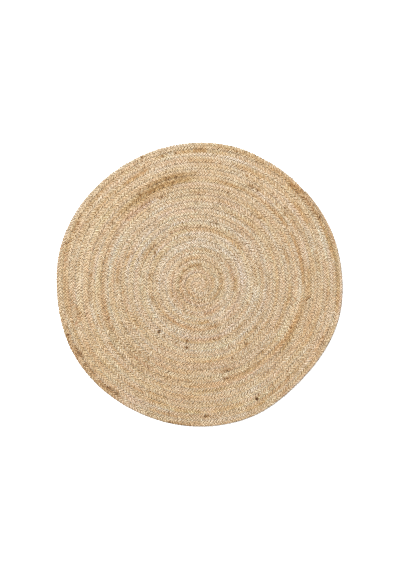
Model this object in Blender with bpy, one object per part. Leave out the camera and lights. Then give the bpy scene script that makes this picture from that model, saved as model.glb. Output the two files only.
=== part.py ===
"""Round jute rug, lying flat.

One long flat braid of jute is wound outward from the centre, counter-clockwise as seen from above, and sewn
edge to edge, so the rug is one solid whose top has one rib for every round of the braid. The braid's loose end
narrows over the last stretch and is sewn down against the round before it. The underside is pressed flat.

Metres, +Z up. The origin is on the surface that the rug lies on, under the middle of its outline.
"""

import math

import bmesh
import bpy

# Driving dimensions, in metres
BRAID_WIDTH = 0.0203      # one round of the winding, seam to seam
BRAID_THICKNESS = 0.0092
SEAM_DEPTH = 0.0030       # how far the seam between two rounds lies below the ribs
RIB_SHOULDER = 0.27       # where a rib reaches its full height, as a share of the braid's width
EDGE_ROUNDING = 0.0028    # how far the underside stays back from the widest line of the rim

# The winding
ROUNDS = 22.75
END_ANGLE = math.radians(58)      # where the braid's loose end is sewn down, from +X towards +Y
END_TAPER = math.radians(62)      # how much of the last round the narrowing end takes
STEPS_PER_ROUND = 64

# Colour of natural jute
JUTE_COLOR = (0.62, 0.45, 0.28, 1.0)
JUTE_ROUGHNESS = 0.9

# The outline is slightly uneven: the rim's distance from the centre, read at its bulges and flats and joined
# smoothly between them. Columns: angle in degrees from +X towards +Y, radius in metres.
RIM_OUTLINE = (
    (15, 0.4540),
    (60, 0.4460),
    (76, 0.4497),
    (118, 0.4473),
    (165, 0.4544),
    (185, 0.4500),
    (208, 0.4538),
    (248, 0.4478),
    (290, 0.4505),
    (315, 0.4430),
    (350, 0.4568),
)
# Bulges fade towards the middle with this power of the distance from the centre
BULGE_FADE = 2.0

TURN = 2 * math.pi
STEPS = round(ROUNDS * STEPS_PER_ROUND)
WINDING_LENGTH = ROUNDS * TURN                    # the winding as an angle, from the centre to the loose end
START_ANGLE = END_ANGLE - WINDING_LENGTH


def ease(share):
    """A share of 0 to 1 with a level start and end."""
    share = min(max(share, 0.0), 1.0)
    return share * share * (3 - 2 * share)


def rim_radius(angle):
    """The rim's distance from the centre in the direction of an angle."""
    first_angle, first_radius = RIM_OUTLINE[0]
    degrees = first_angle + (math.degrees(angle) - first_angle) % 360
    rows = RIM_OUTLINE + ((first_angle + 360, first_radius),)
    for (start, low), (end, high) in zip(rows, rows[1:]):
        if start <= degrees <= end:
            return low + (high - low) * ease((degrees - start) / (end - start))


def even_seam(wound):
    """Radius of the seam outside the braid after winding by an angle, on a perfectly even rug."""
    if wound <= 0:
        return 0.0
    narrowing = BRAID_WIDTH * (1 - ease((WINDING_LENGTH - wound) / END_TAPER))
    return BRAID_WIDTH * wound / TURN - narrowing


def even_rim(angle):
    """The rim's radius in the direction of an angle, on a perfectly even rug."""
    return even_seam(WINDING_LENGTH - (END_ANGLE - angle) % TURN)


def on_rug(even_radius, angle, height):
    """A point of the even rug, moved with the bulges and flats of the real outline."""
    rim = even_rim(angle)
    stretch = rim_radius(angle) / rim - 1
    radius = even_radius * (1 + stretch * (even_radius / rim) ** BULGE_FADE)
    return radius * math.cos(angle), radius * math.sin(angle), height


def braid_point(step, across):
    """A point of the ribbed top: across is 0 at the braid's inner seam and 1 at its outer one."""
    wound = step * TURN / STEPS_PER_ROUND
    inner = even_seam(wound - TURN)
    width = even_seam(wound) - inner
    seam_height = BRAID_THICKNESS - SEAM_DEPTH
    if across == 1 and step > STEPS - STEPS_PER_ROUND:
        height = BRAID_THICKNESS / 2              # the widest line of the rim
    elif across in (0, 1):
        height = seam_height
    else:
        height = seam_height + SEAM_DEPTH * min(1, 2 * width / BRAID_WIDTH)
    return on_rug(inner + across * width, START_ANGLE + wound, height)


def wound_top():
    """The ribbed top as one strip, bent from a flat grid into the winding and welded along its seams."""
    acrosses = (0, RIB_SHOULDER, 1 - RIB_SHOULDER, 1)
    strips = len(acrosses) - 1
    top = bmesh.new()
    bmesh.ops.create_grid(top, x_segments=STEPS, y_segments=strips, size=0.5)
    for vertex in top.verts:
        step = round((vertex.co.x + 0.5) * STEPS)
        row = round((vertex.co.y + 0.5) * strips)
        vertex.co = braid_point(step, acrosses[row])
    bmesh.ops.remove_doubles(top, verts=top.verts, dist=0.00001)
    return top


def close_underneath(body):
    """Round the rim under and close the flat underside."""
    rim_edges = [edge for edge in body.edges if edge.is_boundary]
    extruded = bmesh.ops.extrude_edge_only(body, edges=rim_edges)["geom"]
    for vertex in (item for item in extruded if isinstance(item, bmesh.types.BMVert)):
        distance = math.hypot(vertex.co.x, vertex.co.y)
        share = (distance - EDGE_ROUNDING) / distance
        vertex.co = (vertex.co.x * share, vertex.co.y * share, 0.0)
    underside_edges = [edge for edge in body.edges if edge.is_boundary]
    bmesh.ops.edgeloop_fill(body, edges=underside_edges)


def centre_on_origin(body):
    """Slide the rug so that the middle of its outline is over the origin."""
    xs = [vertex.co.x for vertex in body.verts]
    ys = [vertex.co.y for vertex in body.verts]
    shift = (-(min(xs) + max(xs)) / 2, -(min(ys) + max(ys)) / 2, 0.0)
    bmesh.ops.translate(body, verts=body.verts, vec=shift)


def jute_material():
    material = bpy.data.materials.new("jute")
    material.use_nodes = True
    shader = material.node_tree.nodes["Principled BSDF"]
    shader.inputs["Base Color"].default_value = JUTE_COLOR
    shader.inputs["Roughness"].default_value = JUTE_ROUGHNESS
    shader.inputs["Metallic"].default_value = 0.0
    return material


def build_rug(collection):
    body = wound_top()
    close_underneath(body)
    centre_on_origin(body)
    bmesh.ops.recalc_face_normals(body, faces=body.faces)
    mesh = bpy.data.meshes.new("rug")
    body.to_mesh(mesh)
    body.free()
    mesh.materials.append(jute_material())
    mesh.shade_smooth()
    mesh.set_sharp_from_angle(angle=math.radians(30))
    collection.objects.link(bpy.data.objects.new("rug", mesh))


def main():
    for item in list(bpy.data.objects):
        bpy.data.objects.remove(item, do_unlink=True)
    collection = bpy.data.collections.new("round_jute_rug")
    bpy.context.scene.collection.children.link(collection)
    build_rug(collection)


main()
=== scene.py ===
"""Looks of the round jute rug: one long braid of three strands, wound from the centre and sewn edge to edge.

Metres, in the part's frame: +Z up, the origin on the floor under the middle of the rug. Seen from above,
+X is to the right and +Y is up.
"""

import math

import bpy
import numpy as np
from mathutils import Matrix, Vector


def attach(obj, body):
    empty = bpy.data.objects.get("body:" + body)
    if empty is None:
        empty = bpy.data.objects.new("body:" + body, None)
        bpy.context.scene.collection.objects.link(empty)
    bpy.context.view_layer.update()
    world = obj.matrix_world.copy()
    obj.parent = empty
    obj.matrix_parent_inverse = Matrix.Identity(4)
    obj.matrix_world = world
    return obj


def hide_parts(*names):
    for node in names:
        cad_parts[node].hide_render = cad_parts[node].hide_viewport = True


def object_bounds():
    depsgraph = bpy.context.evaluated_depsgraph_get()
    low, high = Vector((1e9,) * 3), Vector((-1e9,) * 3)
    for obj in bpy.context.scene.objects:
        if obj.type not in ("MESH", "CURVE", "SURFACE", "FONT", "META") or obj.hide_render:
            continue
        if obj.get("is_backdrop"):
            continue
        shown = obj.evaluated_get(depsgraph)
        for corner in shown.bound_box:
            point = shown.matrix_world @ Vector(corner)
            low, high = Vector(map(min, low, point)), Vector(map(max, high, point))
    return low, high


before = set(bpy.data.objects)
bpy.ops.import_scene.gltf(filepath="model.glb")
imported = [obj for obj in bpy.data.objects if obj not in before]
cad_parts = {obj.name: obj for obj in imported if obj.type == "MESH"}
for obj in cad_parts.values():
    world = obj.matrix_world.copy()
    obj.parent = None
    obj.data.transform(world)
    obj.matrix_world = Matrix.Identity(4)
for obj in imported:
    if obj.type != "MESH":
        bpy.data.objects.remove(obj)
CAD_LOW, CAD_HIGH = (list(corner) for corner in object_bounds())
TURN = 2 * math.pi
UP = np.array([0.0, 0.0, 1.0])
SEED = 41                 # of all the random values: each use adds a number of its own

# ---------------------------------------------------------------- the winding, as the part's solid has it

BRAID_WIDTH = 0.0203      # one round, seam to seam
BRAID_THICKNESS = CAD_HIGH[2] - CAD_LOW[2]
ROUNDS = 22.75
END_ANGLE = math.radians(58)      # where the loose end is sewn down
END_TAPER = math.radians(62)      # how much of the last round the narrowing end takes
WINDING_LENGTH = ROUNDS * TURN    # the winding as an angle
START_ANGLE = END_ANGLE - WINDING_LENGTH

# The slightly uneven outline: angle in degrees, distance of the rim from the winding's centre
RIM_OUTLINE = (
    (15, 0.4540),
    (60, 0.4460),
    (76, 0.4497),
    (118, 0.4473),
    (165, 0.4544),
    (185, 0.4500),
    (208, 0.4538),
    (248, 0.4478),
    (290, 0.4505),
    (315, 0.4430),
    (350, 0.4568),
)
BULGE_FADE = 2.0          # bulges fade towards the middle with this power of the distance from the centre
OUTLINE_STEPS = 720       # around the outline, to find its middle
LINE_STEPS = 60000        # along the braid, to measure its length

# ---------------------------------------------------------------- the braid

BRAID_REPEAT = 0.0295     # along the braid, from where a strand leaves one edge to where it leaves it again
STRANDS = ("a", "b", "c")
STRAND_LENGTHS = ("inner", "outer")         # each strand is made in two lengths
RING_STEP = 0.0026        # between the rings of a strand's mesh, along the braid
RING_SIDES = 12           # points around a strand: its two edges, and five over each face
YARNS = 3                 # side by side in a strand
GROOVE_STEPS = (2, 4, 5)  # steps from an edge over the face that lie in a groove: the second one is wider
YARN_GROOVE = 0.42        # depth of a groove between two yarns, as a share of the strand's half depth
FACE_POWER = 0.5          # of a strand cut across: 1 if it is round, less if its faces are flat
STRAND_HALF_WIDTH = 0.0042
STRAND_HALF_DEPTH = 0.0030
SEAM_SQUEEZE = 0.0034     # how far two rounds press into each other at their seam
STRAND_SWING = BRAID_WIDTH / 2 - STRAND_HALF_DEPTH + SEAM_SQUEEZE   # of a strand's middle, across the braid
STRAND_RISE = BRAID_THICKNESS / 2 - STRAND_HALF_DEPTH               # of a strand's middle, up and down
SHOULDER = 3.0            # how soon a strand reaches its full height after it crosses the braid's middle
STRAIGHTNESS = 0.95       # of a strand's way from edge to edge: 0 for a wave, towards 1 for a zigzag
TOP_LEAN = 0.45           # how much more slowly a strand goes outward on top than it comes back underneath
RIM_ROUNDNESS = 0.8       # how much rounder the strands turn at the rim than at a seam
EDGE_TURN = 6             # how late a strand turns on edge as it nears the braid's side
LEVEL_FACE = 0.9          # how level its face lies until then
FIRST_WOUND = 0.9         # the winding's angle where the braid's inner end is tucked in
LAST_WIDTH = 0.18         # the braid ends where it has narrowed to this share of its width
NARROWEST = 0.3           # the strands get no thinner than this share of their size

# How uneven the braiding is. Each pair: how strong, and how far along the braid to the next random value.
PACE_DRIFT = (0.7, 0.12)          # the whole braid ahead or behind, in radians of its repeat
PACE_JITTER = (0.16, 0.021)
LEAD_JITTER = (0.10, 0.012)       # one strand ahead of or behind the others
SWING_JITTER = (0.025, 0.017)     # shares of a strand's swing, of its rise and of its width
RISE_JITTER = (0.06, 0.013)
WIDTH_JITTER = (0.08, 0.019)

# The pattern of fine fibres on the strands
FIBRE_TWIST = 90.0        # how fast the fibres turn around a strand, in radians a metre
FIBRE_RUN = 70.0          # how fast their pattern changes along a strand
FIBRE_SHIFT = 7.3         # how far apart in the pattern the three strands are

# ---------------------------------------------------------------- colours of the jute, linear

# Lightness is counted in powers of e, so that 0.1 is about a tenth lighter and -0.1 about a tenth darker
JUTE = (0.552, 0.437, 0.295)
# A lighter or darker spot is this much lighter or darker in each channel, so that dark jute is also warmer
LIGHT_STEP = (1.0, 1.38, 1.95)
# One step from pale straw towards orange, in each channel
WARM_STEP = (-0.012, -0.045, -0.130)
# One step towards red
RED_STEP = (0.0, -0.035, -0.045)
PALE_LIMIT = 0.4          # pale spots on a strand stand out only this much, next to 1 for dark ones

# Painted light and shade on a strand: where it is drawn lighter or darker than the jute, for the light and
# shade there
FLANK_PAINTED_LIGHT = 0.36        # painted light along the strand's edges, against the shade between strands, so that they stand out less
GROOVE_PAINTED_SHADE = 0.40       # painted shade: share of the light that the grooves between two yarns lose
CROSSING_PAINTED_SHADE = 0.12     # painted shade where the strand comes up in the middle of the braid
SEAM_PAINTED_LIGHT = 0.62         # its face gets painted light where it turns over at a seam, against the shade there
RIM_PAINTED_SHADE = 0.20          # but painted shade on its face where it turns over at the rim
EDGE_PAINTED_SHADE = 0.25         # painted shade on its narrow edge where it turns over
ROW_PAINTED_LIGHT = 0.11          # painted light on the rows of strokes and painted shade on the seams and middle, on the side the light falls from.
ROW_LIT_SIDE = math.radians(48)       # The side the light falls from; painted the other way round on the other side.

# How unlike each other the yarns of a strand are
YARN_SPREAD = 0.088
YARN_LENGTH = 0.045       # along the braid, to the next random value
YARN_SKEW = 0.3           # how much further from the rest the dark yarns are than the pale ones
GRAIN = (0.09, 0.003)     # spots along a yarn: how strong, and how far to the next random value
DARK_CONTRAST = 6.0       # how much more the yarns differ where the braid is darker
CONTRAST_RANGE = (0.4, 3.5)       # the least and the most that their differences are multiplied with
BARK_LENGTH = 0.005       # along the braid, to the next random value for bits of bark
BARK_FROM = 2.15          # how high a value, in spreads, makes a spot dark with bark
BARK_EDGE = 0.4           # how much higher it has to be for the full darkness
BARK_LIGHT = -0.9

# Random streaks along the braid. Each pair: how strong, and how far to the next random value.
TONE_STREAKS = (0.03, 0.20)
SHORT_WARM_STREAKS = (0.45, 0.05)
LONG_WARM_STREAKS = (0.55, 0.18)
RED_STREAKS = (0.8, 0.12)
STRAND_TONES = (0.02, 0.08)       # one strand against the others
STRAND_REDS = (0.75, 0.03)

# How the rounds differ. Places are in rounds of the braid from the centre.
CENTRE_SHADE = 0.035      # the centre is this much darker ...
CENTRE_EDGE = 4.5         # ... inside this place ...
CENTRE_FADE = 3.0         # ... and gets so over this many rounds
INNER_PLACE = 7.5         # the rounds about here are less warm and less red
INNER_SPREAD = 6.5
INNER_COOL = 0.6
INNER_UNRED = 0.4
OUTER_LIGHT = 0.02        # the outer rounds are this much lighter
OUTER_EDGE = 14.0
OUTER_FADE = 4.0

# Streaks that stand out. Columns: first and last angle in degrees, distance from the centre at each of them
# in rounds of the braid, half width in rounds, how much lighter, how many steps warmer, how many redder.
MARKS = (
    # broad patches
    (100, 250, 14.0, 14.0, 6.0, 0.01, -0.1, -0.2),
    # the outer rounds, 0 to 120 degrees
    (60, 419, 21.8, 21.8, 0.5, 0.0, -0.4, -0.5),
    (8, 30, 21.8, 21.1, 0.30, -0.16, 1.2, 1.0),
    (27, 50, 21.3, 20.7, 0.40, -0.23, 0.8, 0.6),
    (40, 60, 21.3, 21.2, 0.30, -0.12, 1.0, 1.2),
    (60, 85, 21.3, 21.3, 0.30, -0.10, 0.8, 1.0),
    (0, 32, 20.7, 20.4, 0.25, 0.16, 0.2, 0.0),
    (30, 110, 20.1, 20.0, 0.25, 0.14, -0.2, -0.4),
    (86, 93, 20.7, 20.7, 0.35, -0.20, 1.2, 1.8),
    (93, 101, 20.7, 20.6, 0.30, -0.13, 0.8, 1.2),
    (103, 110, 20.6, 20.6, 0.25, -0.14, 0.6, 0.6),
    (5, 17, 19.1, 18.9, 0.40, -0.15, 0.6, 0.0),
    (28, 42, 19.4, 19.4, 0.35, -0.08, 0.8, 0.6),
    (20, 75, 19.5, 19.5, 0.50, -0.03, 0.4, 0.6),
    (58, 74, 19.1, 19.1, 0.30, -0.08, 0.8, 0.8),
    (82, 96, 19.0, 19.2, 0.35, -0.09, 0.7, 1.2),
    (113, 128, 19.4, 19.3, 0.30, -0.18, 1.2, 1.6),
    (26, 92, 18.8, 18.55, 0.25, 0.14, -0.2, 0.2),
    (90, 140, 18.4, 18.3, 0.40, 0.12, -0.4, -0.4),
    (0, 45, 18.0, 17.9, 0.30, -0.08, 0.1, 0.1),
    (28, 45, 17.6, 17.5, 0.25, -0.10, 0.0, 0.2),
    (-8, 10, 17.4, 17.3, 0.40, -0.06, 0.8, 0.4),
    (56, 65, 17.4, 17.1, 0.30, -0.28, 0.2, -0.6),
    (4, 62, 17.05, 16.85, 0.22, 0.12, 0.0, 0.5),
    (-2, 32, 16.4, 16.4, 0.30, -0.14, 1.0, 1.0),
    (30, 82, 16.4, 16.1, 0.30, -0.14, 0.6, 1.0),
    (30, 95, 15.65, 15.75, 0.25, 0.15, 0.0, -0.4),
    (10, 20, 15.7, 15.7, 0.20, -0.08, 0.0, -0.6),
    (12, 24, 14.5, 14.4, 0.30, -0.12, 0.4, 0.8),
    (43, 56, 14.0, 13.9, 0.30, -0.12, 0.2, 0.4),
    (32, 43, 13.8, 13.8, 0.40, 0.04, -0.6, 0.0),
    (85, 94, 14.4, 14.3, 0.25, -0.12, 0.2, 0.0),
    (108, 117, 14.75, 14.75, 0.25, -0.14, 0.6, 1.2),
    (93, 125, 14.1, 14.1, 0.30, 0.06, -0.4, -0.8),
    (108, 125, 13.1, 13.1, 0.30, 0.07, -0.6, -0.8),
    (52, 72, 12.9, 12.8, 0.35, 0.05, -0.5, -0.5),
    (66, 78, 13.4, 13.4, 0.25, -0.04, 0.6, 0.2),
    (30, 110, 12.1, 12.0, 0.25, -0.08, 0.2, 0.6),
    (35, 46, 11.4, 11.3, 0.30, -0.08, 0.1, -0.4),
    (48, 90, 11.3, 11.3, 0.30, 0.05, -0.4, -0.4),
    # the olive brown patch
    (88, 130, 17.1, 17.1, 0.45, -0.17, 0.8, -0.3),
    (96, 119, 17.25, 17.2, 0.28, -0.20, 0.6, 0.0),
    (90, 142, 16.3, 16.25, 0.40, -0.20, 1.0, -0.2),
    (100, 132, 16.35, 16.3, 0.25, -0.18, 0.6, 0.0),
    (103, 130, 15.8, 15.8, 0.30, -0.08, 1.2, -0.2),
    # 120 to 240 degrees
    (118, 150, 20.9, 20.9, 0.25, -0.10, 0.5, 0.6),
    (148, 158, 21.0, 21.0, 0.25, -0.22, 0.5, 0.8),
    (156, 195, 21.0, 20.9, 0.25, -0.11, 0.5, 0.5),
    (98, 146, 20.3, 20.2, 0.25, 0.17, -0.3, 0.0),
    (143, 170, 20.5, 20.35, 0.28, 0.16, -0.1, -1.0),
    (126, 150, 19.3, 19.3, 0.25, -0.05, 0.6, 0.8),
    (181, 200, 19.9, 19.6, 0.40, -0.07, 0.3, 0.4),
    (189, 198, 19.2, 19.1, 0.30, -0.13, 0.8, 0.8),
    (205, 222, 19.6, 19.5, 0.40, -0.06, 0.5, 0.6),
    (215, 245, 19.0, 19.0, 0.20, -0.09, 0.6, 0.0),
    (195, 206, 21.6, 21.5, 0.30, -0.06, 0.5, 0.9),
    (205, 214, 21.4, 21.2, 0.40, -0.33, 0.3, 0.8),
    (214, 222, 21.4, 21.4, 0.40, -0.27, 0.5, 0.8),
    (222, 236, 21.6, 21.4, 0.32, -0.30, 0.4, 0.2),
    (198, 240, 21.9, 22.0, 0.20, -0.14, 0.3, 0.3),
    (212, 240, 20.8, 20.8, 0.20, -0.10, 0.2, 0.3),
    (184, 196, 18.6, 18.5, 0.30, 0.05, 0.2, -1.0),
    (136, 190, 18.5, 18.2, 0.50, 0.09, -0.4, -1.1),
    (148, 176, 17.5, 17.5, 0.20, 0.10, -0.2, -0.4),
    (122, 148, 18.0, 18.0, 0.25, -0.09, 0.6, 0.1),
    (215, 240, 17.2, 17.3, 0.25, 0.05, 0.1, -0.3),
    (190, 200, 17.0, 17.0, 0.30, 0.06, -0.6, -0.4),
    (172, 190, 16.7, 17.2, 0.30, -0.21, 0.4, 1.0),
    (136, 147, 16.6, 16.6, 0.25, -0.12, 0.1, 0.4),
    (148, 158, 17.0, 17.0, 0.25, -0.09, 0.3, 0.6),
    (158, 178, 16.6, 16.6, 0.20, -0.07, 0.2, 0.4),
    (196, 205, 16.4, 16.4, 0.22, -0.13, 0.4, 0.6),
    (211, 226, 16.45, 16.35, 0.25, -0.27, 0.6, 0.8),
    (226, 240, 16.3, 16.3, 0.25, -0.12, 0.4, 0.8),
    (143, 200, 16.1, 15.9, 0.28, 0.14, -0.2, -0.3),
    (200, 208, 15.5, 15.5, 0.20, -0.16, 0.2, 0.3),
    (213, 223, 15.6, 15.6, 0.20, -0.14, 0.2, 0.4),
    (118, 140, 14.9, 14.9, 0.35, -0.15, 0.4, 1.8),
    (140, 185, 15.1, 15.1, 0.35, -0.11, 0.3, 0.6),
    (183, 245, 15.2, 15.0, 0.35, -0.13, 0.3, 0.8),
    (221, 238, 14.3, 14.2, 0.30, -0.09, 0.4, 0.0),
    (214, 232, 14.8, 14.7, 0.20, 0.05, -0.1, 0.0),
    (108, 157, 14.15, 14.1, 0.25, 0.13, -0.3, -0.8),
    (155, 205, 13.8, 14.1, 0.40, 0.04, -0.5, -0.6),
    (162, 182, 12.75, 12.7, 0.20, -0.08, 0.6, 0.6),
    (142, 162, 12.5, 12.4, 0.20, -0.08, 0.2, 0.4),
    (203, 214, 13.3, 13.3, 0.20, -0.14, -0.1, 0.2),
    (212, 230, 12.7, 12.7, 0.35, 0.03, -0.4, 0.2),
    (205, 222, 11.9, 11.9, 0.20, 0.05, -0.3, 0.0),
    (205, 217, 11.5, 11.4, 0.25, -0.10, 0.6, 0.3),
    (120, 145, 12.1, 12.0, 0.40, -0.06, -0.3, 0.2),
    (172, 206, 12.0, 11.8, 0.30, -0.06, -0.1, 0.1),
    # 240 to 360 degrees
    (256, 268, 22.1, 22.1, 0.22, -0.30, 0.2, 0.0),
    (258, 272, 21.9, 21.8, 0.30, -0.09, 0.6, 0.6),
    (270, 300, 21.6, 21.6, 0.25, 0.07, -0.2, -0.2),
    (247, 268, 20.9, 20.9, 0.30, -0.11, 0.6, 0.2),
    (270, 276, 20.85, 20.8, 0.22, -0.14, 0.4, 0.2),
    (258, 272, 20.1, 19.9, 0.35, -0.11, 1.0, 0.1),
    (275, 292, 20.0, 19.8, 0.40, -0.03, 1.0, -0.2),
    (293, 300, 20.15, 20.05, 0.22, -0.16, 0.4, 0.0),
    (290, 301, 21.3, 21.2, 0.30, -0.04, 1.0, 0.8),
    (297, 312, 20.5, 20.9, 0.25, -0.09, 0.5, 0.3),
    (310, 332, 20.6, 20.4, 0.25, -0.07, 0.5, 0.3),
    (298, 322, 20.0, 19.8, 0.20, 0.06, 0.0, -0.4),
    (318, 345, 20.1, 20.0, 0.25, 0.07, -0.2, -0.1),
    (302, 335, 21.9, 21.8, 0.35, -0.08, 0.5, 1.2),
    (333, 343, 21.7, 21.6, 0.35, -0.12, 0.2, 0.2),
    (347, 370, 21.8, 21.7, 0.35, -0.12, 1.2, 1.6),
    (325, 345, 21.3, 21.2, 0.25, 0.03, 0.6, 0.0),
    (330, 350, 19.3, 19.2, 0.30, -0.03, 0.6, 1.0),
    (245, 256, 19.5, 19.5, 0.30, -0.07, 0.5, 0.6),
    (244, 255, 18.5, 18.4, 0.20, -0.05, 1.0, -0.2),
    (285, 345, 18.5, 18.4, 0.40, 0.05, -0.3, -0.8),
    (322, 366, 15.7, 15.8, 0.25, 0.14, -0.2, -0.3),
    (240, 266, 17.3, 17.2, 0.20, 0.06, -0.1, 0.0),
    (288, 300, 17.0, 16.95, 0.30, -0.19, -0.2, -0.1),
    (302, 328, 17.4, 17.5, 0.25, -0.13, -0.1, 0.2),
    (268, 286, 16.75, 16.65, 0.25, -0.14, 0.6, 0.2),
    (243, 256, 16.7, 16.6, 0.25, -0.07, 0.5, 1.0),
    (320, 338, 16.7, 16.6, 0.25, -0.08, 1.4, 0.4),
    (336, 362, 16.6, 16.9, 0.25, -0.03, 0.8, 0.8),
    (261, 272, 16.0, 15.95, 0.20, -0.15, 0.8, 0.6),
    (283, 315, 15.3, 15.55, 0.25, -0.20, 0.7, 1.0),
    (312, 328, 15.6, 15.85, 0.25, -0.14, 0.5, 0.8),
    (326, 345, 15.9, 16.05, 0.22, -0.12, 0.5, 0.8),
    (265, 360, 15.7, 16.3, 0.50, -0.04, 0.6, 0.8),
    (248, 268, 15.25, 15.25, 0.25, -0.13, 0.4, 0.9),
    (322, 362, 14.9, 15.3, 0.25, 0.09, -0.4, -0.3),
    (284, 293, 14.1, 14.0, 0.25, -0.12, 0.0, -0.1),
    (306, 318, 14.45, 14.4, 0.20, -0.19, 0.1, 0.2),
    (240, 262, 14.0, 14.1, 0.35, -0.04, 0.2, 1.2),
    (267, 278, 13.35, 13.3, 0.20, -0.12, 0.6, 0.7),
    (283, 322, 13.3, 13.4, 0.25, -0.11, 0.2, 0.5),
    (328, 352, 13.9, 13.8, 0.25, -0.12, 0.4, 0.4),
    (345, 362, 14.2, 14.3, 0.30, -0.03, 0.8, 0.4),
    (300, 314, 12.0, 12.0, 0.22, -0.14, 0.4, -0.2),
    (300, 350, 12.9, 12.9, 0.30, 0.05, -0.3, -0.3),
    # the inner rounds, 0 to 120 degrees
    (-5, 22, 10.0, 9.9, 0.30, -0.10, 0.3, 0.6),
    (43, 60, 10.1, 10.0, 0.20, -0.11, 0.0, 0.3),
    (68, 82, 9.8, 9.8, 0.20, -0.08, 0.2, -0.2),
    (60, 130, 9.45, 9.65, 0.25, 0.09, -0.3, -0.3),
    (-4, 18, 8.8, 8.9, 0.25, -0.08, 0.5, 0.6),
    (38, 65, 8.7, 8.7, 0.30, -0.09, 0.8, 1.0),
    (62, 100, 8.7, 8.9, 0.30, -0.13, 0.7, 1.0),
    (98, 122, 9.0, 9.2, 0.30, -0.11, 0.6, 1.2),
    (5, 22, 8.3, 8.2, 0.25, 0.05, -0.2, 0.0),
    (34, 62, 7.7, 7.6, 0.30, 0.04, -0.4, -0.8),
    (0, 50, 6.1, 6.6, 0.22, 0.09, 0.0, -0.5),
    (-12, 14, 5.6, 5.7, 0.30, -0.20, 1.4, 0.8),
    (5, 40, 5.5, 5.6, 0.35, -0.09, 0.3, 1.8),
    (35, 60, 5.9, 5.95, 0.25, -0.07, 0.4, 0.4),
    (68, 90, 5.5, 5.4, 0.30, -0.08, 0.5, 0.3),
    (95, 112, 5.75, 5.75, 0.15, -0.10, -0.2, -0.6),
    (88, 130, 6.1, 6.0, 0.20, 0.04, -0.4, -0.4),
    (-15, 28, 3.5, 3.7, 0.30, -0.11, 0.9, 1.2),
    (22, 50, 3.7, 3.75, 0.28, -0.12, 0.6, 0.5),
    (45, 85, 3.75, 4.0, 0.30, -0.09, 0.1, 0.5),
    (82, 125, 4.1, 4.2, 0.30, -0.11, 0.4, 1.2),
    (35, 80, 4.2, 4.5, 0.20, 0.05, -0.2, 0.1),
    (76, 124, 2.95, 3.05, 0.28, -0.26, 0.8, 1.8),
    (60, 200, 3.5, 3.6, 0.22, 0.07, -0.2, -0.2),
    (-10, 20, 2.95, 2.9, 0.25, 0.03, -0.6, -1.0),
    (98, 122, 2.4, 2.4, 0.20, -0.07, 0.0, 0.0),
    # 120 to 240 degrees
    (122, 178, 3.05, 3.0, 0.25, -0.18, 0.7, 0.8),
    (178, 225, 3.0, 2.9, 0.25, -0.09, 0.6, 0.5),
    (223, 248, 2.9, 2.85, 0.25, -0.16, 0.3, 1.5),
    (115, 240, 2.0, 2.1, 0.25, -0.07, 0.2, 0.2),
    (112, 132, 10.3, 10.2, 0.25, -0.08, 0.0, 0.3),
    (133, 158, 9.3, 9.25, 0.28, -0.16, 0.3, 1.8),
    (158, 172, 9.2, 9.2, 0.20, -0.08, 0.3, 1.0),
    (136, 158, 8.5, 8.5, 0.20, -0.06, 0.0, -0.5),
    (158, 181, 7.65, 7.75, 0.22, -0.12, 0.0, 0.5),
    (118, 160, 7.2, 7.35, 0.20, -0.09, -0.1, 0.4),
    (188, 201, 7.8, 7.65, 0.20, -0.12, -0.4, -0.6),
    (200, 240, 7.25, 7.0, 0.15, -0.15, 0.0, 0.0),
    (135, 182, 6.4, 6.3, 0.50, 0.08, -1.0, -0.6),
    (180, 262, 8.4, 7.9, 0.50, 0.05, -0.7, -0.9),
    (166, 190, 5.8, 5.8, 0.18, -0.07, -0.1, -0.5),
    (188, 206, 6.4, 6.3, 0.20, -0.05, 0.4, 0.5),
    (194, 235, 6.6, 6.5, 0.25, -0.02, -0.1, 0.7),
    (187, 207, 4.5, 4.6, 0.35, -0.17, 0.7, 0.9),
    (150, 190, 4.15, 4.3, 0.22, -0.12, 0.2, 0.9),
    (120, 152, 4.15, 4.15, 0.20, -0.07, -0.1, 0.2),
    (205, 246, 4.5, 4.4, 0.40, -0.10, 0.3, 0.4),
    (226, 246, 6.85, 6.8, 0.20, -0.14, 0.0, 1.6),
    (228, 242, 9.3, 9.3, 0.20, 0.06, -0.6, -0.2),
    (200, 216, 11.1, 11.0, 0.30, -0.05, 0.5, 0.6),
    (218, 240, 5.9, 5.8, 0.25, -0.07, -0.1, 0.3),
    # 240 to 360 degrees
    (246, 300, 2.8, 2.9, 0.25, -0.12, 0.5, 0.9),
    (298, 350, 2.9, 3.2, 0.22, -0.12, 0.4, 0.7),
    (330, 372, 2.65, 2.7, 0.20, 0.08, -0.4, -0.4),
    (240, 320, 2.35, 2.5, 0.18, 0.05, 0.0, 0.0),
    (254, 262, 9.95, 9.9, 0.25, -0.12, 0.0, -0.2),
    (252, 262, 9.1, 9.1, 0.22, -0.12, 0.0, 0.0),
    (260, 271, 10.8, 10.7, 0.20, -0.09, 0.1, 0.4),
    (283, 300, 11.1, 11.1, 0.20, -0.09, 0.0, 0.5),
    (300, 322, 11.3, 11.1, 0.30, 0.00, 0.6, 0.6),
    (276, 292, 8.75, 8.8, 0.22, -0.16, 0.0, 0.4),
    (255, 277, 8.7, 8.7, 0.20, -0.08, 0.0, 0.3),
    (292, 325, 8.95, 9.2, 0.20, -0.10, -0.1, 0.2),
    (328, 348, 9.3, 9.35, 0.20, -0.07, 0.0, -0.3),
    (280, 296, 6.75, 6.95, 0.28, -0.25, 0.2, 0.8),
    (243, 262, 6.8, 6.8, 0.20, -0.15, 0.2, 1.4),
    (268, 287, 5.95, 5.85, 0.20, -0.21, 1.4, 0.0),
    (256, 285, 5.65, 5.6, 0.15, 0.00, 0.4, 1.2),
    (240, 268, 5.8, 5.85, 0.20, -0.08, 0.1, 0.2),
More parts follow.
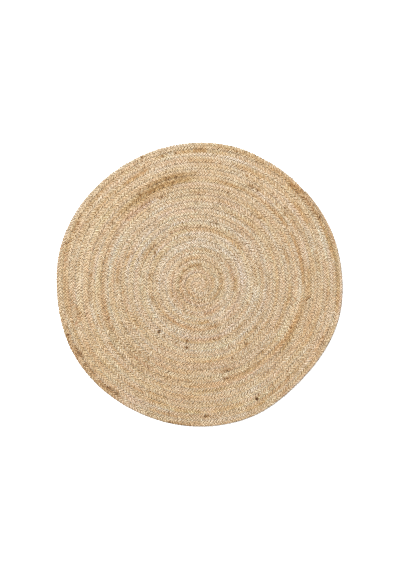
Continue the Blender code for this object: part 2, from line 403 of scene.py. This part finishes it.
    (238, 264, 4.9, 4.9, 0.30, -0.11, 0.3, -0.1),
    (276, 318, 4.6, 4.8, 0.40, -0.10, 0.2, 1.2),
    (285, 318, 6.3, 6.0, 0.35, 0.01, 0.0, -1.0),
    (314, 345, 6.2, 6.6, 0.25, -0.07, 0.1, 0.5),
    (342, 362, 6.6, 6.6, 0.25, -0.04, 0.4, 0.8),
    (318, 347, 5.2, 5.3, 0.25, -0.10, -0.2, 0.1),
    (330, 354, 7.9, 7.9, 0.20, 0.08, 0.0, -0.4),
    (318, 362, 8.6, 9.1, 0.20, 0.09, -0.3, -0.2),
    (338, 352, 10.2, 10.2, 0.25, -0.05, 0.0, 0.8),
    (272, 310, 10.2, 10.6, 0.40, 0.04, -0.1, -0.6),
    (236, 262, 7.7, 7.8, 0.40, 0.05, -1.0, -0.2),
    (262, 290, 7.5, 7.5, 0.30, 0.03, -0.3, -0.5),
)

MARK_ENDS = 7             # a mark fades in and out over one part in this many of its length
MARK_TONE = 0.95          # how strongly the marks show: lighter or darker, warmer, redder
MARK_WARM = 2.0
MARK_RED = 1.2
PALE_MARKS = 0.5          # shares of that for the pale marks, the cool ones and the less red ones
COOL_MARKS = 0.3
UNRED_MARKS = 0.5

# Small dark flecks of bark. Columns: angle in degrees, distance from the centre in rounds, how much lighter.
FLECKS = (
    (42, 21.7, -0.7),
    (29, 21.4, -0.6),
    (74, 21.2, -0.4),
    (114, 21.6, -0.8),
    (106, 20.6, -0.5),
    (153, 20.8, -0.7),
    (201, 21.7, -0.8),
    (210, 21.2, -0.9),
    (215, 21.4, -0.8),
    (229, 21.3, -0.9),
    (231, 21.0, -0.8),
    (233, 21.3, -0.9),
    (258, 22.2, -0.6),
    (273, 20.7, -0.9),
    (297, 20.1, -1.1),
    (306, 20.2, -0.4),
    (314, 20.4, -0.4),
    (337, 21.2, -0.4),
    (39, 17.2, -0.5),
    (58, 17.2, -0.7),
    (62, 17.3, -0.6),
    (98, 16.9, -0.5),
    (102, 17.0, -0.5),
    (107, 17.1, -0.6),
    (123, 16.6, -0.4),
    (131, 16.3, -0.4),
    (144, 16.3, -0.5),
    (285, 15.2, -0.5),
    (287, 15.3, -0.7),
    (335, 15.9, -0.6),
    (352, 17.0, -0.6),
    (353, 17.2, -0.7),
    (48, 13.9, -0.6),
    (113, 14.7, -0.7),
    (154, 11.3, -0.5),
    (158, 11.9, -0.4),
    (171, 12.6, -0.4),
    (177, 12.5, -0.4),
    (211, 13.2, -0.8),
    (289, 14.1, -1.1),
    (309, 11.9, -0.7),
    (313, 14.5, -0.7),
    (323, 11.2, -0.7),
    (74, 9.9, -0.7),
    (144, 8.4, -0.5),
    (169, 7.7, -0.6),
    (173, 7.6, -0.4),
    (196, 7.6, -0.8),
    (198, 7.5, -0.4),
    (230, 9.6, -1.5),
    (236, 9.8, -0.7),
    (258, 9.0, -0.8),
    (259, 10.0, -1.0),
    (291, 8.9, -0.5),
    (133, 3.1, -0.5),
)
FLECK_SIZE = 0.0040
FLECK_STRENGTH = 1.3


# ---------------------------------------------------------------- where the braid lies

def ease(share):
    """Shares of 0 to 1 with a level start and end."""
    share = np.clip(share, 0.0, 1.0)
    return share * share * (3 - 2 * share)


def rim_radius(angle):
    """The rim's distance from the winding's centre in each direction."""
    degrees, radii = (np.array(column, float) for column in zip(*RIM_OUTLINE))
    degrees = np.append(degrees, degrees[0] + 360)
    radii = np.append(radii, radii[0])
    turned = degrees[0] + (np.degrees(angle) - degrees[0]) % 360
    row = np.clip(np.searchsorted(degrees, turned, side="right") - 1, 0, len(degrees) - 2)
    share = ease((turned - degrees[row]) / (degrees[row + 1] - degrees[row]))
    return radii[row] + (radii[row + 1] - radii[row]) * share


def even_seam(wound):
    """Radius of the seam outside the braid, on a perfectly even rug."""
    narrowing = BRAID_WIDTH * (1 - ease((WINDING_LENGTH - wound) / END_TAPER))
    return np.where(wound > 0, BRAID_WIDTH * wound / TURN - narrowing, 0.0)


def on_rug(even_radius, angle):
    """Points of the even rug, moved with the bulges and flats of the real outline. X and Y in two rows."""
    rim = even_seam(WINDING_LENGTH - (END_ANGLE - angle) % TURN)
    stretch = rim_radius(angle) / rim - 1
    radius = even_radius * (1 + stretch * (even_radius / rim) ** BULGE_FADE)
    return np.array([radius * np.cos(angle), radius * np.sin(angle)])


def outline_middle():
    """Where the middle of the outline lies from the winding's centre."""
    angles = np.linspace(0, TURN, OUTLINE_STEPS, endpoint=False)
    outline = rim_radius(angles) * np.array([np.cos(angles), np.sin(angles)])
    return (outline.min(axis=1) + outline.max(axis=1)) / 2


RUG_MIDDLE = (np.array(CAD_LOW[:2]) + np.array(CAD_HIGH[:2])) / 2
WINDING_CENTRE = RUG_MIDDLE - outline_middle()


def braid_line():
    """Winding angles along the middle of the braid, and the braid's length up to each."""
    wound = np.linspace(FIRST_WOUND, WINDING_LENGTH, LINE_STEPS)
    inner, outer = even_seam(wound - TURN), even_seam(wound)
    wide_enough = (outer - inner > LAST_WIDTH * BRAID_WIDTH) | (wound < TURN)
    wound, middle = wound[wide_enough], ((inner + outer) / 2)[wide_enough]
    x, y = on_rug(middle, START_ANGLE + wound)
    length = np.concatenate([[0], np.cumsum(np.hypot(np.diff(x), np.diff(y)))])
    return wound, length


WOUND_LINE, LENGTH_LINE = braid_line()
BRAID_LENGTH = LENGTH_LINE[-1]


def drift(length, strength, spacing, seed):
    """Smooth random values along the braid, about -2 to 2 times the strength, a new one each spacing."""
    values = np.random.default_rng(SEED + seed).normal(size=int(BRAID_LENGTH / spacing) + 3)
    place = length / spacing
    low = np.floor(place).astype(int)
    return strength * (values[low] + (values[low + 1] - values[low]) * ease(place - low))


def streak(wound, across, strength, spacing, seed):
    """Smooth random values in streaks that follow the winding, each about half a braid wide."""
    before, here, after = (np.interp(wound + shift, WOUND_LINE, LENGTH_LINE) for shift in (-TURN, 0, TURN))
    columns = np.array([
        drift(before, 1.0, spacing, seed + 1),     # the outer half of the round before
        drift(here, 1.0, spacing, seed),
        drift(here, 1.0, spacing, seed + 1),
        drift(after, 1.0, spacing, seed),          # the inner half of the round after
    ])
    place = np.clip(2 * across + 0.5, 0, 2.999)    # 0, 1, 2 and 3 in the middles of these halves
    low = np.floor(place).astype(int)
    each = np.arange(len(wound))
    start, end = columns[low, each], columns[low + 1, each]
    return strength * (start + (end - start) * ease(place - low))


# ---------------------------------------------------------------- meshes

def unit(vectors):
    return vectors / np.linalg.norm(vectors, axis=-1, keepdims=True)


def tube_faces(count, sides):
    """Quads between the rings of a tube, and the two faces that close its ends."""
    first = (np.arange(count - 1)[:, None] * sides + np.arange(sides)[None, :]).ravel()
    side = np.tile(np.arange(sides), count - 1)
    beside = first - side + (side + 1) % sides
    quads = np.stack([first, beside, beside + sides, first + sides], axis=1)
    caps = [np.arange(sides)[::-1], (count - 1) * sides + np.arange(sides)]
    return quads, caps


def add_mesh(name, points, quads, others):
    """A smooth mesh object of quads and other faces."""
    corners = np.concatenate([quads.ravel(), *others])
    sizes = np.concatenate([np.full(len(quads), 4), [len(other) for other in others]]).astype(int)
    mesh = bpy.data.meshes.new(name)
    mesh.vertices.add(len(points))
    mesh.vertices.foreach_set("co", points.astype(np.float32).ravel())
    mesh.loops.add(len(corners))
    mesh.loops.foreach_set("vertex_index", corners.astype(np.int32))
    mesh.polygons.add(len(sizes))
    mesh.polygons.foreach_set("loop_start", (np.cumsum(sizes) - sizes).astype(np.int32))
    mesh.update(calc_edges=True)
    mesh.shade_smooth()
    mesh.validate()
    piece = bpy.data.objects.new(name, mesh)
    bpy.context.scene.collection.objects.link(piece)
    return piece


def add_layers(piece, colours, places):
    """Store each point's colour and its place in the fibre pattern."""
    layer = piece.data.attributes.new("jute_colour", "FLOAT_COLOR", "POINT")
    rgba = np.column_stack([colours, np.ones(len(colours))])
    layer.data.foreach_set("color", rgba.astype(np.float32).ravel())
    layer = piece.data.attributes.new("fibre_place", "FLOAT_VECTOR", "POINT")
    layer.data.foreach_set("vector", places.astype(np.float32).ravel())


# ---------------------------------------------------------------- the strands

def strand_profile():
    """A strand cut across, over one face and back over the other: sides, heights, grooves."""
    around = TURN * np.arange(RING_SIDES) / RING_SIDES
    steps_from_edge = np.arange(RING_SIDES) % (RING_SIDES // 2)
    grooves = np.where(np.isin(steps_from_edge, GROOVE_STEPS), YARN_GROOVE, 0)
    heights = np.sign(np.sin(around)) * np.abs(np.sin(around)) ** FACE_POWER * (1 - grooves)
    return np.cos(around), heights, grooves


SIDES, HEIGHTS, GROOVES = strand_profile()


def strand_path(index):
    """The middle of a strand, ring by ring, with the way its face looks and its place in the braid."""
    rings = int(BRAID_LENGTH / RING_STEP)
    length = np.linspace(0, BRAID_LENGTH, rings)
    wound = np.interp(length, LENGTH_LINE, WOUND_LINE)
    angle = START_ANGLE + wound
    inner = even_seam(wound - TURN)
    width = even_seam(wound) - inner
    scale = np.clip(width / BRAID_WIDTH, NARROWEST, 1.0)
    phase = TURN * (length / BRAID_REPEAT + index / len(STRANDS))
    phase = phase + drift(length, *PACE_DRIFT, 11) + drift(length, *PACE_JITTER, 10)
    phase = phase + drift(length, *LEAD_JITTER, 20 + index)
    phase = phase + TOP_LEAN / 2 * (np.cos(2 * phase) - 1)
    swing = STRAND_SWING * (1 + drift(length, *SWING_JITTER, 30 + index)) * width / BRAID_WIDTH
    rise = STRAND_RISE * (1 + drift(length, *RISE_JITTER, 40 + index)) * scale
    zigzag = np.arcsin(STRAIGHTNESS * np.sin(phase)) / math.asin(STRAIGHTNESS)
    last_round = ease((wound - WINDING_LENGTH + TURN) / END_TAPER)
    at_rim = last_round * (zigzag > 0)        # in the outer half of the last round
    rounder = zigzag + RIM_ROUNDNESS * at_rim * (np.sin(phase) - zigzag)
    sideways = swing * rounder * (1 - at_rim * SEAM_SQUEEZE / STRAND_SWING)
    height = BRAID_THICKNESS / 2 + rise * np.tanh(SHOULDER * np.sin(2 * phase)) / np.tanh(SHOULDER)
    even_radius = inner + width / 2 + sideways
    x, y = on_rug(even_radius, angle)
    centre = np.stack([x + WINDING_CENTRE[0], y + WINDING_CENTRE[1], height], axis=1)
    outward = np.stack([np.cos(angle), np.sin(angle), np.zeros(rings)], axis=1)
    facing = outward * (np.abs(np.sin(phase)) ** EDGE_TURN)[:, None]
    facing[:, 2] = LEVEL_FACE * np.cos(phase)
    return {
        "centre": centre,
        "facing": facing,
        "length": length,
        "wound": wound,
        "across": 0.5 + sideways / np.maximum(width, NARROWEST * BRAID_WIDTH),
        "phase": phase,
        "scale": scale,
        "at_rim": at_rim,
        "angle": angle,
        "rounds_out": even_radius / BRAID_WIDTH,
    }


def strand_points(path, half_width, half_depth):
    """Points of a strand, ring after ring."""
    along = unit(np.gradient(path["centre"], axis=0))
    up = unit(path["facing"] - along * np.sum(path["facing"] * along, axis=1, keepdims=True))
    across = np.cross(along, up)
    rings = (
        path["centre"][:, None, :]
        + SIDES[None, :, None] * across[:, None, :] * half_width[:, None, None]
        + HEIGHTS[None, :, None] * up[:, None, :] * half_depth[:, None, None]
    )
    rings[:, :, 2] = np.maximum(rings[:, :, 2], 0.0)      # pressed flat on the floor
    return rings


def marks(rounds_out, angle):
    """How much the streaks and flecks of the tables lighten, warm and redden each place."""
    light, warm, red = np.zeros((3, len(angle)))
    for start, end, first_round, last_round, spread, lighter, warmer, redder in MARKS:
        share = (np.degrees(angle) - start) % 360 / (end - start)
        middle = first_round + (last_round - first_round) * share
        ends = np.minimum(share, 1 - share) * MARK_ENDS
        weight = ease(ends) * np.exp(-(((rounds_out - middle) / spread) ** 2))
        light += lighter * weight
        warm += warmer * weight
        red += redder * weight
    for place, rounds, lighter in FLECKS:
        turned = (np.degrees(angle) - place + 180) % 360 - 180
        along = np.radians(turned) * rounds * BRAID_WIDTH
        across = (rounds_out - rounds) * BRAID_WIDTH
        light += FLECK_STRENGTH * lighter * np.exp(-(along**2 + across**2) / FLECK_SIZE**2)
    return light, warm, red


def broad_colour(index, path):
    """How much lighter, warmer and redder the jute is at each ring of a strand."""
    length, wound, across, rounds_out = (path[key] for key in ("length", "wound", "across", "rounds_out"))
    light, warm, red = marks(rounds_out, path["angle"])
    light = MARK_TONE * np.where(light > 0, PALE_MARKS * light, light)
    warm = MARK_WARM * np.where(warm < 0, COOL_MARKS * warm, warm)
    red = MARK_RED * np.where(red < 0, UNRED_MARKS * red, red)
    inner = np.exp(-(((rounds_out - INNER_PLACE) / INNER_SPREAD) ** 2))
    light -= CENTRE_SHADE * ease((CENTRE_EDGE - rounds_out) / CENTRE_FADE)
    warm -= INNER_COOL * inner
    red -= INNER_UNRED * inner
    light += OUTER_LIGHT * ease((rounds_out - OUTER_EDGE) / OUTER_FADE)
    light += streak(wound, across, *TONE_STREAKS, 120)
    warm += streak(wound, across, *SHORT_WARM_STREAKS, 170) + streak(wound, across, *LONG_WARM_STREAKS, 180)
    red += drift(length, *STRAND_REDS, 190 + index) + streak(wound, across, *RED_STREAKS, 195)
    return light, warm, red


def yarn_lights(index, length, broad_light):
    """How much lighter each yarn of a strand is at each ring. One row for each yarn."""
    seeds = [210 + 10 * index + yarn for yarn in range(YARNS)]
    lights = np.array([drift(length, 1.0, YARN_LENGTH, seed) for seed in seeds])
    lights -= YARN_SKEW * lights**2
    lights = YARN_SPREAD * (lights - lights.mean(axis=0))
    lights += np.array([drift(length, *GRAIN, seed + 7) for seed in seeds])
    lights *= np.clip(1 - DARK_CONTRAST * broad_light, *CONTRAST_RANGE)
    bark = np.array([drift(length, 1.0, BARK_LENGTH, seed + 5) for seed in seeds])
    return lights + BARK_LIGHT * ease((bark - BARK_FROM) / BARK_EDGE)


def jute_colour(light, warm, red):
    """Linear colours of jute, for how light, how warm and how red it is."""
    steps = light[..., None] * np.array(LIGHT_STEP)
    steps = steps + (warm[:, None] * np.array(WARM_STEP) + red[:, None] * np.array(RED_STEP))[:, None, :]
    return np.array(JUTE) * np.exp(steps)


def strand_colours(index, path):
    """The jute's colour around each ring of a strand, with painted light and shade on its edges, grooves,
    crossings, seams and rows.
    """
    broad_light, warm, red = broad_colour(index, path)
    light = drift(path["length"], *STRAND_TONES, 140 + index)
    half_way = (1 - np.abs(np.sin(2 * path["phase"]))) ** 2      # 1 where the strand is half-way up or down
    at_side = np.sin(path["phase"]) ** 2      # 1 at the braid's two sides, 0 in its middle
    turned_over = (half_way * at_side)[:, None]
    # painted shade where the strand crosses the braid's middle; painted light and shade along the rows, by
    # the side the light falls from
    light -= CROSSING_PAINTED_SHADE * half_way * (1 - at_side)
    light -= ROW_PAINTED_LIGHT * np.cos(path["angle"] - ROW_LIT_SIDE) * np.cos(2 * TURN * path["across"])

    yarns = yarn_lights(index, path["length"], broad_light)
    yarn_place = (1 - SIDES) / 2 * (YARNS - 1)       # 0, 1 and 2 on the three yarns
    low = np.minimum(yarn_place.astype(int), YARNS - 2)
    between = (yarn_place - low)[None, :]
    light = light[:, None] + yarns[low].T * (1 - between) + yarns[low + 1].T * between

    face = (np.abs(HEIGHTS) / (1 - GROOVES))[None, :]            # 0 on the strand's edges, 1 on its faces
    at_rim = path["at_rim"][:, None]
    # painted light along the edges, painted shade on the edges and at the rim where the strand turns over,
    # painted light on its face at seams, painted shade in the grooves
    light = light + (FLANK_PAINTED_LIGHT - (FLANK_PAINTED_LIGHT + EDGE_PAINTED_SHADE) * turned_over) * (1 - face)
    light = light + (SEAM_PAINTED_LIGHT - (SEAM_PAINTED_LIGHT + RIM_PAINTED_SHADE) * at_rim) * turned_over * face
    light = light + np.log(1 - GROOVE_PAINTED_SHADE * GROOVES / YARN_GROOVE)[None, :]
    light = np.where(light > 0, PALE_LIMIT * light, light) + broad_light[:, None]
    return jute_colour(light, warm, red)


def make_strand(index, path, material):
    """A strand's two lengths, each one closed mesh."""
    half_width = STRAND_HALF_WIDTH * (1 + drift(path["length"], *WIDTH_JITTER, 100 + index)) * path["scale"]
    points = strand_points(path, half_width, STRAND_HALF_DEPTH * path["scale"])
    colours = strand_colours(index, path)
    around = TURN * np.arange(RING_SIDES)[None, :] / RING_SIDES + path["length"][:, None] * FIBRE_TWIST
    run = np.repeat(path["length"][:, None] * FIBRE_RUN + FIBRE_SHIFT * index, RING_SIDES, axis=1)
    places = np.stack([np.cos(around), np.sin(around), run], axis=2)
    cuts = np.linspace(0, len(points) - 1, len(STRAND_LENGTHS) + 1).astype(int)
    pieces = []
    for part, first, last in zip(STRAND_LENGTHS, cuts, cuts[1:]):
        rings = slice(first, last + 1)
        quads, caps = tube_faces(last + 1 - first, RING_SIDES)
        piece = add_mesh(f"strand_{STRANDS[index]}_{part}", points[rings].reshape(-1, 3), quads, caps)
        add_layers(piece, colours[rings].reshape(-1, 3), places[rings].reshape(-1, 3))
        piece.data.materials.append(material)
        pieces.append(piece)
    return pieces


# ---------------------------------------------------------------- loose fibres

FIBRES_ON_TOP = 1000      # that stick out of each strand's top
FIBRES_AT_RIM = 120       # and out of its turns at the rim
TOP_FROM = 0.3            # the top is where the sine that lifts the strand is above this
RIM_FROM = 0.8            # share of the way across the last round
FIBRE_POINTS = 5          # along a loose fibre
FIBRE_SIDES = 3
FIBRE_LENGTHS = (0.006, 0.020)
RIM_FIBRE_LENGTHS = (0.003, 0.009)
FIBRE_RADII = (0.00009, 0.00017)
FIBRE_TAPER = 0.7         # share of its radius that a fibre loses towards its tip
FIBRE_ROOT = 0.8          # how far from the strand's middle it starts, as a share of the strand's half depth
FIBRE_SKEW = 0.6          # spread of the fibres' directions about the strand's own, in radians
FIBRE_CURL = 1.3          # spread of their bends from root to tip, in radians
FIBRE_RISE = (0.05, 0.45)         # how steeply a fibre leaves its strand
FIBRE_DROOP = 1.7         # share of that steepness that it loses towards its tip
FIBRE_TONES = (0.05, 0.12)        # mean and spread of how light the fibres are
FIBRE_TINTS = 0.6         # spread of how warm and how red they are
DARK_FIBRES = 0.12        # share of them that are brown
DARK_SHADE = 0.7          # how much darker those are
PATTERN_SPREAD = 100.0    # how far apart in the fibre pattern they are
PATTERN_RUN = 0.5         # how far the pattern goes along one of them


def loose_fibre_lines(path, rings, outward, lengths, random):
    """Lines of loose fibres that leave a strand at the given rings: points, and headings along each."""
    share = np.arange(FIBRE_POINTS) / (FIBRE_POINTS - 1)
    along = np.gradient(path["centre"], axis=0)[rings]
    heading = np.arctan2(along[:, 1], along[:, 0]) + random.normal(0, FIBRE_SKEW, len(rings))
    heading = heading[:, None] + random.normal(0, FIBRE_CURL, len(rings))[:, None] * share
    rise = random.uniform(*FIBRE_RISE, len(rings))[:, None] * (1 - FIBRE_DROOP * share)
    steps = np.stack([np.cos(heading), np.sin(heading), rise], axis=2)
    steps *= random.uniform(*lengths, len(rings))[:, None, None] / (FIBRE_POINTS - 1)
    depth = FIBRE_ROOT * STRAND_HALF_DEPTH * path["scale"][rings]
    roots = path["centre"][rings] + outward * depth[:, None]
    return roots[:, None, :] + np.cumsum(steps, axis=1) - steps[:, :1], heading


def all_fibre_lines(paths, random):
    """Lines and headings of the loose fibres of all the strands."""
    lines, headings = [], []
    for path in paths:
        on_top = random.choice(np.flatnonzero(np.sin(2 * path["phase"]) > TOP_FROM), FIBRES_ON_TOP)
        at_rim = (path["wound"] > WINDING_LENGTH - TURN) & (path["across"] > RIM_FROM)
        at_rim = random.choice(np.flatnonzero(at_rim), FIBRES_AT_RIM)
        angle = path["angle"][at_rim]
        sideways = np.stack([np.cos(angle), np.sin(angle), np.zeros(len(angle))], axis=1)
        families = ((on_top, UP, FIBRE_LENGTHS), (at_rim, sideways, RIM_FIBRE_LENGTHS))
        for rings, outward, lengths in families:
            line, heading = loose_fibre_lines(path, rings, outward, lengths, random)
            lines.append(line)
            headings.append(heading)
    return np.concatenate(lines), np.concatenate(headings)


def fibre_points(lines, headings, radius):
    """Points around the loose fibres, ring after ring."""
    beside = np.stack([-np.sin(headings), np.cos(headings), np.zeros_like(headings)], axis=2)
    around = TURN * np.arange(FIBRE_SIDES) / FIBRE_SIDES
    points = (
        lines[:, :, None, :]
        + radius[:, :, None, None] * np.cos(around)[:, None] * beside[:, :, None, :]
        + radius[:, :, None, None] * np.sin(around)[:, None] * UP
    )
    points[..., 2] = np.maximum(points[..., 2], 0.0)
    return points


def make_loose_fibres(paths, material):
    """All the loose fibres as one piece, each a thin closed tube."""
    random = np.random.default_rng(SEED + 300)
    lines, headings = all_fibre_lines(paths, random)
    count = len(lines)
    share = np.arange(FIBRE_POINTS) / (FIBRE_POINTS - 1)
    radius = random.uniform(*FIBRE_RADII, count)[:, None] * (1 - FIBRE_TAPER * share)
    points = fibre_points(lines, headings, radius)
    quads, caps = tube_faces(FIBRE_POINTS, FIBRE_SIDES)
    each = FIBRE_POINTS * FIBRE_SIDES
    firsts = each * np.arange(count)
    quads = (quads[None] + firsts[:, None, None]).reshape(-1, 4)
    caps = [cap + first for first in firsts for cap in caps]
    piece = add_mesh("loose_fibres", points.reshape(-1, 3), quads, caps)
    light = random.normal(*FIBRE_TONES, count) - DARK_SHADE * (random.random(count) < DARK_FIBRES)
    warm = random.normal(0, FIBRE_TINTS, count)
    red = random.normal(0, FIBRE_TINTS, count)
    colours = jute_colour(light[:, None], warm, red)
    places = random.uniform(0, PATTERN_SPREAD, (count, 1, 3)) + PATTERN_RUN * share[None, :, None]
    places = np.repeat(places, FIBRE_SIDES, axis=1)
    add_layers(piece, np.repeat(colours.reshape(count, 3), each, axis=0), places.reshape(-1, 3))
    piece.data.materials.append(material)
    return piece


# ---------------------------------------------------------------- the pressed fibre between the strands

HEART_RINGS = 24
HEART_SPOKES = 144
HEART_INSET = 0.0052              # how far inside the rim it ends
HEART_HEIGHTS = (0.0058, 0.0034)  # of its top and its underside


def make_heart(material):
    """A thin round sheet at mid-height: the fibre pressed together between the strands along the seams,
    coloured dark as painted shade in the gaps between them.
    """
    rings, spokes = HEART_RINGS, HEART_SPOKES
    angles = TURN * np.arange(spokes) / spokes
    x, y = (rim_radius(angles) - HEART_INSET) * np.array([np.cos(angles), np.sin(angles)])
    shares = np.arange(1, rings + 1) / rings
    sheet_x = WINDING_CENTRE[0] + shares[:, None] * x[None, :]
    sheet_y = WINDING_CENTRE[1] + shares[:, None] * y[None, :]
    layers = []
    for z in HEART_HEIGHTS:
        grid = np.stack([sheet_x, sheet_y, np.full_like(sheet_x, z)], axis=2).reshape(-1, 3)
        layers.append(np.vstack([[*WINDING_CENTRE, z], grid]))
    size = len(layers[0])
    first = 1 + (np.arange(rings - 1)[:, None] * spokes + np.arange(spokes)[None, :]).ravel()
    spoke = np.tile(np.arange(spokes), rings - 1)
    beside = first - spoke + (spoke + 1) % spokes
    top = np.stack([first, first + spokes, beside + spokes, beside], axis=1)
    edge = 1 + (rings - 1) * spokes + np.arange(spokes)
    edge_next = np.roll(edge, -1)
    rim = np.stack([edge, edge + size, edge_next + size, edge_next], axis=1)
    quads = np.vstack([top, top[:, ::-1] + size, rim])
    ring = 1 + np.arange(spokes)
    fans = np.stack([np.zeros(spokes, int), ring, np.roll(ring, -1)], axis=1)
    triangles = list(fans) + list(fans[:, ::-1] + size)
    piece = add_mesh("pressed_fibre", np.vstack(layers), quads, triangles)
    piece.data.materials.append(material)
    return piece


# ---------------------------------------------------------------- materials

# Colours that the fibre pattern multiplies the jute's colour with, and where in the pattern each is
FIBRE_TINT_STOPS = (
    (0.385, (0.21, 0.143, 0.06, 1)),
    (0.50, (1.0, 1.0, 1.0, 1)),
    (0.66, (1.12, 1.15, 1.22, 1)),
)
# Colours of the pressed fibre between the strands: dark, as painted shade in the gaps where it shows
PRESSED_FIBRE_SHADE_STOPS = (
    (0.0, (0.22, 0.15, 0.085, 1)),
    (1.0, (0.45, 0.31, 0.18, 1)),
)


def set_inputs(node, values):
    """Set a node's sockets by name."""
    for name, value in values.items():
        node.inputs[name].default_value = value


def new_material(name, values):
    """A material with a Principled shader: the material, its node tree and the shader."""
    material = bpy.data.materials.new(name)
    material.use_nodes = True
    tree = material.node_tree
    shader = tree.nodes["Principled BSDF"]
    set_inputs(shader, values)
    return material, tree, shader


def add_ramp(tree, stops):
    """A colour ramp with the given stops, from left to right."""
    ramp = tree.nodes.new("ShaderNodeValToRGB")
    elements = ramp.color_ramp.elements
    while len(elements) < len(stops):
        elements.new(1.0)
    for element, (position, colour) in zip(elements, stops):
        element.position = position
        element.color = colour
    return ramp


def jute_strand_material():
    values = {"Specular IOR Level": 0.25, "Sheen Weight": 0.12, "Sheen Roughness": 0.5}
    material, tree, shader = new_material("jute_strand", values)
    nodes, links = tree.nodes, tree.links

    colour = nodes.new("ShaderNodeAttribute")
    colour.attribute_name = "jute_colour"
    place = nodes.new("ShaderNodeAttribute")
    place.attribute_name = "fibre_place"

    fibres = nodes.new("ShaderNodeTexNoise")
    set_inputs(fibres, {"Scale": 3.5, "Detail": 4.0, "Roughness": 0.65})
    links.new(place.outputs["Vector"], fibres.inputs["Vector"])

    tint = add_ramp(tree, FIBRE_TINT_STOPS)
    links.new(fibres.outputs["Fac"], tint.inputs["Fac"])
    shade = nodes.new("ShaderNodeVectorMath")
    shade.operation = "MULTIPLY"
    links.new(colour.outputs["Color"], shade.inputs[0])
    links.new(tint.outputs["Color"], shade.inputs[1])
    links.new(shade.outputs["Vector"], shader.inputs["Base Color"])

    rough = nodes.new("ShaderNodeMapRange")
    set_inputs(rough, {"To Min": 0.95, "To Max": 0.7})
    links.new(fibres.outputs["Fac"], rough.inputs["Value"])
    links.new(rough.outputs["Result"], shader.inputs["Roughness"])

    bump = nodes.new("ShaderNodeBump")
    set_inputs(bump, {"Strength": 0.6, "Distance": 0.0006})
    links.new(fibres.outputs["Fac"], bump.inputs["Height"])
    links.new(bump.outputs["Normal"], shader.inputs["Normal"])
    return material


def pressed_fibre_shade_material():
    material, tree, shader = new_material("pressed_fibre", {"Roughness": 0.95})
    place = tree.nodes.new("ShaderNodeTexCoord")
    fibres = tree.nodes.new("ShaderNodeTexNoise")
    set_inputs(fibres, {"Scale": 900.0, "Detail": 3.0})
    tree.links.new(place.outputs["Object"], fibres.inputs["Vector"])
    ramp = add_ramp(tree, PRESSED_FIBRE_SHADE_STOPS)
    tree.links.new(fibres.outputs["Fac"], ramp.inputs["Fac"])
    tree.links.new(ramp.outputs["Color"], shader.inputs["Base Color"])
    return material


# ---------------------------------------------------------------- floor, light and camera

PHOTO_SIZE = (400, 570)           # of the photograph, in pixels
PIXEL = 0.0031596                 # metres on the rug for each pixel
VIEW_MIDDLE = (0.0016, -0.0009)   # the point of the rug in the middle of the photograph
LENS = 100.0
SENSOR = 36.0
VIEW_DEPTH = 50.0
FLOOR_SIZE = 60.0
FLOOR_DROP = 0.0005               # how far the floor is below the rug
FLOOR_WHITE = 0.96
SKY_STRENGTH = 0.95
KEY_PLACE = (-2.2, 2.6, 6.8)
KEY_SIZE = 3.2
KEY_POWER = 675.0


def make_floor():
    bpy.ops.mesh.primitive_plane_add(size=FLOOR_SIZE, location=(0, 0, -FLOOR_DROP))
    floor = bpy.context.object
    floor.name = "floor"
    values = {
        "Base Color": (FLOOR_WHITE, FLOOR_WHITE, FLOOR_WHITE, 1),
        "Roughness": 1.0,
        "Specular IOR Level": 0.0,
    }
    material, _, _ = new_material("floor_white", values)
    floor.data.materials.append(material)
    floor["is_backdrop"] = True


def make_key_light():
    """One large soft light from the upper left of the photograph."""
    data = bpy.data.lights.new("key", "AREA")
    data.size = KEY_SIZE
    data.energy = KEY_POWER
    light = bpy.data.objects.new("key", data)
    light.location = KEY_PLACE
    light.rotation_euler = (-light.location).to_track_quat("-Z", "Y").to_euler()
    bpy.context.scene.collection.objects.link(light)


def make_studio():
    world = bpy.data.worlds.new("studio")
    world.use_nodes = True
    set_inputs(world.node_tree.nodes["Background"], {"Color": (1, 1, 1, 1), "Strength": SKY_STRENGTH})
    bpy.context.scene.world = world
    make_key_light()
    bpy.context.scene.view_settings.view_transform = "Standard"
    bpy.context.scene.cycles.filter_width = 1.0
    bpy.context.scene.cycles.use_denoising = False


def make_camera():
    """A camera straight above the rug."""
    data = bpy.data.cameras.new("camera")
    data.lens = LENS
    data.sensor_width = SENSOR
    data.clip_end = VIEW_DEPTH
    camera = bpy.data.objects.new("camera", data)
    view_height = PHOTO_SIZE[1] * PIXEL
    camera.location = (*VIEW_MIDDLE, CAD_HIGH[2] + view_height * LENS / SENSOR)
    bpy.context.scene.collection.objects.link(camera)
    bpy.context.scene.camera = camera


# ---------------------------------------------------------------- putting it together

jute = jute_strand_material()
paths = [strand_path(index) for index in range(len(STRANDS))]
strands = [piece for index, path in enumerate(paths) for piece in make_strand(index, path, jute)]
fibres = make_loose_fibres(paths, jute)
heart = make_heart(pressed_fibre_shade_material())
for piece in (*strands, fibres, heart):
    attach(piece, "root")
    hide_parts("rug")
make_floor()
make_studio()
make_camera()
